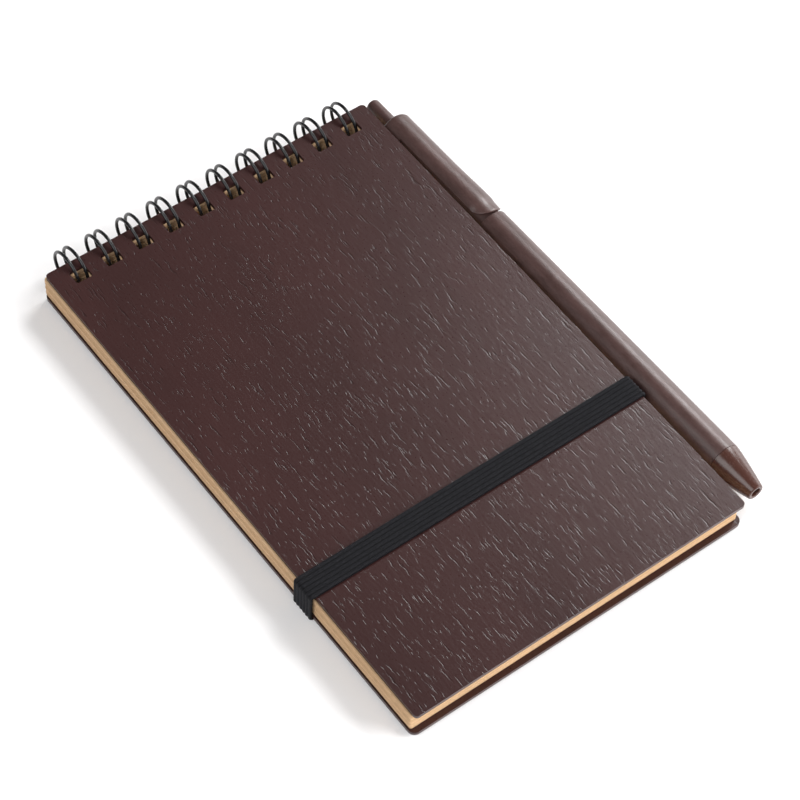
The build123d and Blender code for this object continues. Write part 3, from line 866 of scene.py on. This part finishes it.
def cap_skin():
    """The outside of a long cup, then only its top and the tongue."""
    line = [(BARREL, CLIP_END + (CAP_LOW - CLIP_END) * i / CLIP_ROWS) for i in range(CLIP_ROWS)]
    line += [(BARREL, CAP_LOW), (BARREL, CAP_LOW + 0.4), (BARREL, CAP_TOP - 2)]
    line += rounded([(BARREL, CAP_TOP - 2), (BARREL, CAP_TOP), (CAP_HOLE, CAP_TOP)], [0, CAP_ROUND, 0], 7)[1:]
    bm = bmesh.new()
    verts = [bm.verts.new((r * MM, 0, z * MM)) for r, z in line]
    edges = [bm.edges.new(pair) for pair in zip(verts, verts[1:])]
    bmesh.ops.spin(bm, geom=verts + edges, cent=(0, 0, 0), axis=(0, 0, 1), dvec=(0, 0, 0),
                   angle=2 * math.pi, steps=CAP_STEPS, use_merge=True, use_normal_flip=False,
                   use_duplicate=False)
    bmesh.ops.remove_doubles(bm, verts=bm.verts, dist=0.0005 * MM)
    cut = []
    for face in bm.faces:
        middle = face.calc_center_median()
        beside = abs(math.degrees(math.atan2(middle.y, middle.x))) > CLIP_HALF_ANGLE
        if middle.z < CAP_LOW * MM and beside:
            cut.append(face)
    bmesh.ops.delete(bm, geom=cut, context="FACES")
    return bm


bm = cap_skin()
print("skin faces", len(bm.faces))

# %% [markdown]
# Moving the tongue's vertices rounds its free end and gives it the swell that lifts it off the neck. Both are
# sums on a vertex's height and angle, so they are helpers that take a number and give a number.

# %% The tongue's shape
CLIP_CORNER = 3.2
CLIP_SWELL = 0.26
SWELL_TOP = CLIP_END + 4.6
SWELL_RISE, SWELL_STEP = 15.0, 2.2


def rounded_end(z, angle):
    """Where a height on the plain tongue goes, once its free end is rounded."""
    half_width = math.sin(math.radians(CLIP_HALF_ANGLE)) * BARREL
    inset = max(0.0, abs(math.sin(angle)) * BARREL - (half_width - CLIP_CORNER))
    low = CLIP_END + CLIP_CORNER - math.sqrt(max(CLIP_CORNER**2 - inset**2, 0.0))
    share = (CAP_LOW - z) / (CAP_LOW - CLIP_END)
    return CAP_LOW - (CAP_LOW - low) * share


def swell(z):
    """How far the tongue stands off at a height: a slow rise to the swell, and a quick step back."""
    away = (z - SWELL_TOP) / (SWELL_RISE if z > SWELL_TOP else -SWELL_STEP)
    near = max(0.0, 1 - away)
    return CLIP_SWELL * near * near * (3 - 2 * near)


print("swell at the free end in mm", round(swell(CLIP_END), 3))

# %% [markdown]
# Last, the skin is extruded inwards for its wall, with a nib inside the free end that presses on the neck. The
# cup has a thicker wall than the tongue, and a thicker end. The rims get a small bevel, as a mould gives them.

# %% Clip cap
CLIP_WALL, CAP_WALL, CAP_END_WALL = 0.5, 0.75, 1.0
NIB_DEPTH, NIB_RADIUS = 0.24, 1.6
RIM_BEVEL = 0.1 * MM


def clip_cap(bm):
    for vert in bm.verts:
        z, angle = vert.co.z / MM, math.atan2(vert.co.y, vert.co.x)
        if z < CAP_LOW - 0.01:
            z = rounded_end(z, angle)
            radius = (BARREL + swell(z)) * MM
            vert.co = (radius * math.cos(angle), radius * math.sin(angle), z * MM)
    bmesh.ops.recalc_face_normals(bm, faces=bm.faces)
    made = bmesh.ops.extrude_face_region(bm, geom=bm.faces[:], use_keep_orig=True)["geom"]
    for vert in (g for g in made if isinstance(g, bmesh.types.BMVert)):
        z, radius = vert.co.z / MM, math.hypot(vert.co.x, vert.co.y) / MM
        angle = math.atan2(vert.co.y, vert.co.x)
        if z < CAP_LOW - 0.01:
            off_centre = math.hypot(z - CLIP_END - CLIP_CORNER, angle * BARREL)
            inner = radius - CLIP_WALL - NIB_DEPTH * max(0.0, 1 - off_centre / NIB_RADIUS)
        else:
            inner, z = min(radius, BARREL - CAP_WALL), min(z, CAP_TOP - CAP_END_WALL)
        vert.co = (inner * MM * math.cos(angle), inner * MM * math.sin(angle), z * MM)
    bmesh.ops.remove_doubles(bm, verts=bm.verts, dist=0.002 * MM)
    bmesh.ops.recalc_face_normals(bm, faces=bm.faces)
    rim = [e for e in bm.edges if len(e.link_faces) == 2 and e.calc_face_angle() > math.radians(60)]
    bmesh.ops.bevel(bm, geom=rim, offset=RIM_BEVEL, offset_type="OFFSET", segments=2, profile=0.5,
                    affect="EDGES", material=-1, clamp_overlap=True)
    return finished_pen_piece(bm, "pen_clip_moulding", 50)


clip = clip_cap(bm)
give(clip, pen_shell)
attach(clip, "pen_case")
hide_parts("pen_clip_cap")
print("clip faces", len(clip.data.polygons))

# %% [markdown]
# ## Button
# The button is a domed pin with a wider skirt that stays inside the cap, and a blind hole for the rotor.

# %% Button
BUTTON, BUTTON_TOP = 1.8, CAP_TOP + 8.8
SKIRT, SKIRT_TOP = 2.3, NECK_TOP - 0.1
SKIRT_LOW = SKIRT_TOP - 10.0
ROTOR_HOLE, HOLE_TOP = 1.1, SKIRT_LOW + 4.2
button_profile = rounded(
    [(0, BUTTON_TOP), (0, HOLE_TOP), (ROTOR_HOLE, HOLE_TOP), (ROTOR_HOLE, SKIRT_LOW), (SKIRT, SKIRT_LOW),
     (SKIRT, SKIRT_TOP), (BUTTON, SKIRT_TOP), (BUTTON, BUTTON_TOP)],
    [0, 0, 0, 0.1, 0.15, 0.15, 0, 0.9], 7)
button = turned("pen_button_turned", button_profile, 64)
give(button, pen_shell)
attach(button, "pen_button")
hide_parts("pen_push_button")
print("button faces", len(button.data.polygons))

# %% [markdown]
# ### Inside the pen
# The guide sleeve and the rotor are white plastic, the refill is a clear tube of ink, its point is turned
# brass with a steel ball, and the spring is steel wire. They show when the pen is taken apart, so they
# get finishes too.

# %% Finishes inside the pen
def plain_finish(name, low, high, roughness, scale=800, **fixed):
    """A colour that wanders a little between two tones, with a matching change of roughness."""
    finish = Finish(name, **fixed)
    noise = finish.noise(finish.stretched((scale, scale / 3, scale)), detail=3.0).outputs["Fac"]
    return finish.feed(
        Base_Color=finish.ramp(noise, [(0.3, low), (0.7, high)]),
        Roughness=finish.ramp(noise, [(0.3, grey(roughness * 0.85)), (0.7, grey(roughness * 1.15))]),
        Normal=finish.relief(noise, 0.004 * MM, 0.5))


white_plastic = plain_finish("white_plastic", (0.78, 0.78, 0.76), (0.84, 0.84, 0.82), 0.4)
refill_plastic = plain_finish("refill_plastic", (0.74, 0.77, 0.8), (0.82, 0.84, 0.86), 0.2,
                              Transmission_Weight=0.5, IOR=1.49)
ink_finish = plain_finish("ink", (0.01, 0.012, 0.05), (0.016, 0.02, 0.075), 0.12)
point_brass = plain_finish("point_brass", (0.72, 0.55, 0.26), (0.82, 0.66, 0.34), 0.25, Metallic=1.0)
steel = plain_finish("bright_steel", (0.55, 0.56, 0.58), (0.66, 0.67, 0.69), 0.22, Metallic=1.0)
inner = {"pen_cam_sleeve": white_plastic, "pen_rotor": white_plastic, "refill_tube": refill_plastic,
         "refill_ink": ink_finish, "refill_point": point_brass, "refill_ball": steel}
for name, finish in inner.items():
    give(nodes[name], finish)
print("inner pieces", len(inner), "with finishes", len(set(inner.values())))

# %% [markdown]
# ## Spring
# A helix is a spin that also climbs: each step turns and lifts the last vertex. The spring sits between the
# nose's floor and the collar of the point.

# %% Spring
SPRING_LOW, SPRING_HIGH = 3.3, 11.6
SPRING_RADIUS, SPRING_WIRE, SPRING_TURNS = 1.45, 0.2, 7


def spring_points(turns, steps_a_turn=20):
    bm = bmesh.new()
    start = bm.verts.new((SPRING_RADIUS * MM, 0, SPRING_LOW * MM))
    steps = turns * steps_a_turn
    climb = (SPRING_HIGH - SPRING_LOW) * MM / steps
    bmesh.ops.spin(bm, geom=[start], cent=(0, 0, 0), axis=(0, 0, 1), dvec=(0, 0, climb),
                   angle=math.radians(360 * turns), steps=steps, use_merge=False, use_normal_flip=False,
                   use_duplicate=False)
    bm.transform(pen_lies)
    bm.verts.ensure_lookup_table()
    out = [v.co.copy() for v in bm.verts]
    bm.free()
    return out


spring = curve_tube("pen_spring_wound", spring_points(SPRING_TURNS), SPRING_WIRE * MM, 8)
give(spring, steel)
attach(spring, "pen_case")
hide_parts("refill_spring")
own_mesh(spring)
print("spring faces", len(spring.data.polygons))
